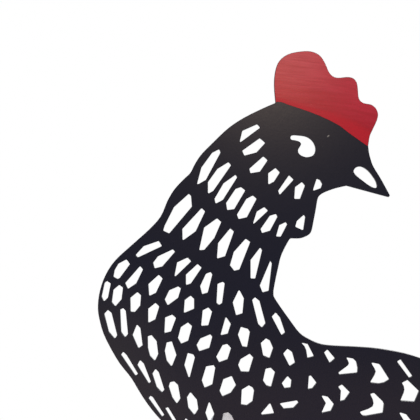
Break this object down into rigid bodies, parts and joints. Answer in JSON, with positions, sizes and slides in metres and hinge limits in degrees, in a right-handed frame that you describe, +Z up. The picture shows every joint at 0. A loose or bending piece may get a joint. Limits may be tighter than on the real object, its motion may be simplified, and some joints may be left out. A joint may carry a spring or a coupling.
{
  "type": "hen silhouette ornament",
  "caption": "Flat black steel hen looking back over its body, with feathers cut through the sheet and a red brushed comb, standing on a foot plate with rear stays; a free-standing shelf ornament.",
  "frame": {"origin": "middle of the overall box, on the surface that the pads stand on", "axes": "+Z up, +X the way the hen's beak points, +Y from the hen's front face to its stays"},
  "size_m": [0.2419, 0.11, 0.2904],
  "materials": {
    "black_coat": "satin black coat on steel sheet",
    "red_enamel": "brushed red enamel over the black coat",
    "zinc_plate": "dull zinc plating",
    "black_steel": "black oxide steel",
    "rubber": "matt black rubber"
  },
  "bodies": {
    "root": {"hen_plate": "black_coat", "comb_paint_front": "red_enamel", "base_plate": "black_coat", "left_stay": "zinc_plate", "left_stay_screw": "black_steel", "left_stay_washer": "zinc_plate", "left_stay_nut": "zinc_plate", "left_foot_screw": "black_steel", "left_foot_washer": "zinc_plate", "left_foot_nut": "zinc_plate", "right_stay": "zinc_plate", "right_stay_screw": "black_steel", "right_stay_washer": "zinc_plate", "right_stay_nut": "zinc_plate", "right_foot_screw": "black_steel", "right_foot_washer": "zinc_plate", "right_foot_nut": "zinc_plate", "front_left_pad": "rubber", "front_right_pad": "rubber", "rear_left_pad": "rubber", "rear_right_pad": "rubber"}
  },
  "joints": []
}
